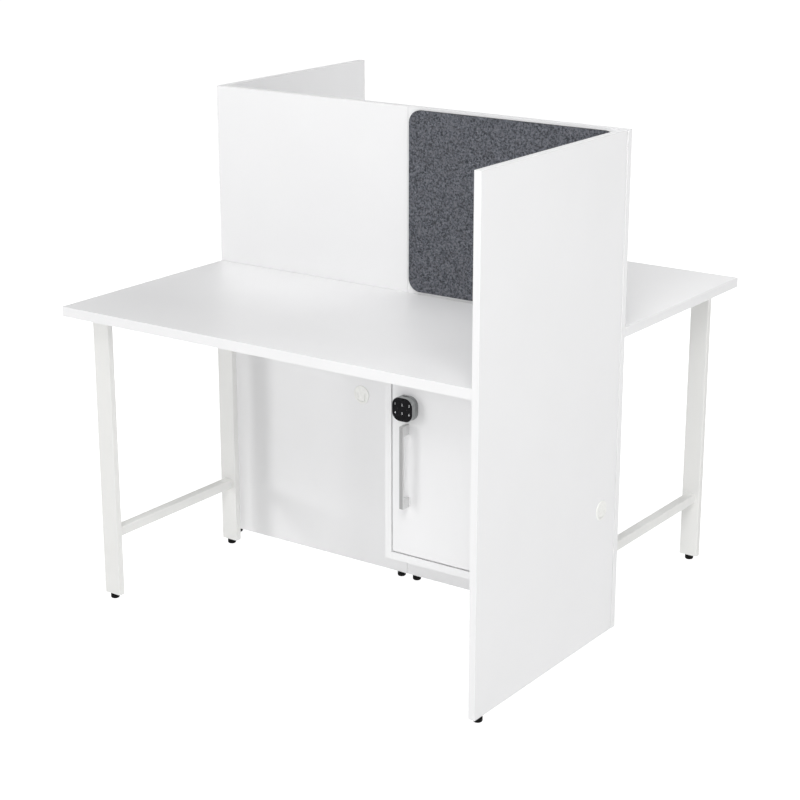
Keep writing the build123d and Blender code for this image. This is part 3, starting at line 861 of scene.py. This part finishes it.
def direction(azimuth, elevation):
    """A unit vector away from the object. Azimuth 0 is in front and 90 is to the right, in degrees."""
    a, e = math.radians(azimuth), math.radians(elevation)
    return Vector((math.sin(a) * math.cos(e), -math.cos(a) * math.cos(e), math.sin(e)))


def add_floor():
    """A pale floor whose glow depends on whether the camera or the object sees it."""
    mesh = bmesh.new()
    bmesh.ops.create_grid(mesh, x_segments=1, y_segments=1, size=FLOOR_REACH)
    data = bpy.data.meshes.new("floor")
    mesh.to_mesh(data)
    mesh.free()
    floor = bpy.data.objects.new("floor", data)
    bpy.context.scene.collection.objects.link(floor)
    floor.location.z = -FLOOR_DROP
    surface = Surface("pale_floor", roughness=0.9, specular=0.0)
    surface.colour(FLOOR_TONE)
    reach = surface.add("ShaderNodeVectorMath", operation="LENGTH")
    surface.feed(reach.inputs[0], surface.place)
    seen = surface.span(reach.outputs["Value"], *FLOOR_MELT, FLOOR_SEEN, SKY_SEEN)
    path = surface.add("ShaderNodeLightPath")
    glow = surface.span(path.outputs["Is Camera Ray"], 0.0, 1.0, FLOOR_GLOW, seen)
    surface.feed(surface.shader.inputs["Emission Color"], GLOW_WHITE)
    surface.feed(surface.shader.inputs["Emission Strength"], glow)
    data.materials.append(surface.material)


def add_softbox(name, azimuth, elevation, distance, size, power):
    """A square soft light round the object, aimed at its middle."""
    low, high = cad_box
    away = direction(azimuth, elevation)
    light = bpy.data.lights.new(name, "AREA")
    light.shape = "SQUARE"
    light.size = size
    light.energy = power
    lamp = bpy.data.objects.new(name, light)
    bpy.context.scene.collection.objects.link(lamp)
    lamp.location = (low + high) / 2 + away * distance
    lamp.rotation_euler = (-away).to_track_quat("-Z", "Y").to_euler()


def add_sky():
    """An even white surround: softer as light than it looks to the camera."""
    world = bpy.data.worlds.new("surround")
    bpy.context.scene.world = world
    world.use_nodes = True
    tree = world.node_tree
    background = tree.nodes["Background"]
    background.inputs["Color"].default_value = (*GLOW_WHITE, 1.0)
    path = tree.nodes.new("ShaderNodeLightPath")
    strength = tree.nodes.new("ShaderNodeMapRange")
    tree.links.new(path.outputs["Is Camera Ray"], strength.inputs["Value"])
    strength.inputs["To Min"].default_value = SKY_LIGHT
    strength.inputs["To Max"].default_value = SKY_SEEN
    tree.links.new(strength.outputs[0], background.inputs["Strength"])


def add_camera():
    """The photo's viewpoint, pitched down rather than shifted, which keeps other views in frame."""
    low, high = cad_box
    away = direction(CAMERA_AZIMUTH, CAMERA_ELEVATION)
    data = bpy.data.cameras.new("camera")
    data.sensor_width = CAMERA_SENSOR
    data.lens = CAMERA_LENS
    camera = bpy.data.objects.new("camera", data)
    bpy.context.scene.collection.objects.link(camera)
    camera.location = (low + high) / 2 + CAMERA_AIM + away * CAMERA_DISTANCE
    camera.rotation_euler = (-away).to_track_quat("-Z", "Y").to_euler()
    bpy.context.scene.camera = camera


add_pieces(paint_nodes())
add_floor()
add_sky()
for softbox in SOFTBOXES:
    add_softbox(*softbox)
add_camera()
bpy.context.scene.view_settings.view_transform = "Standard"
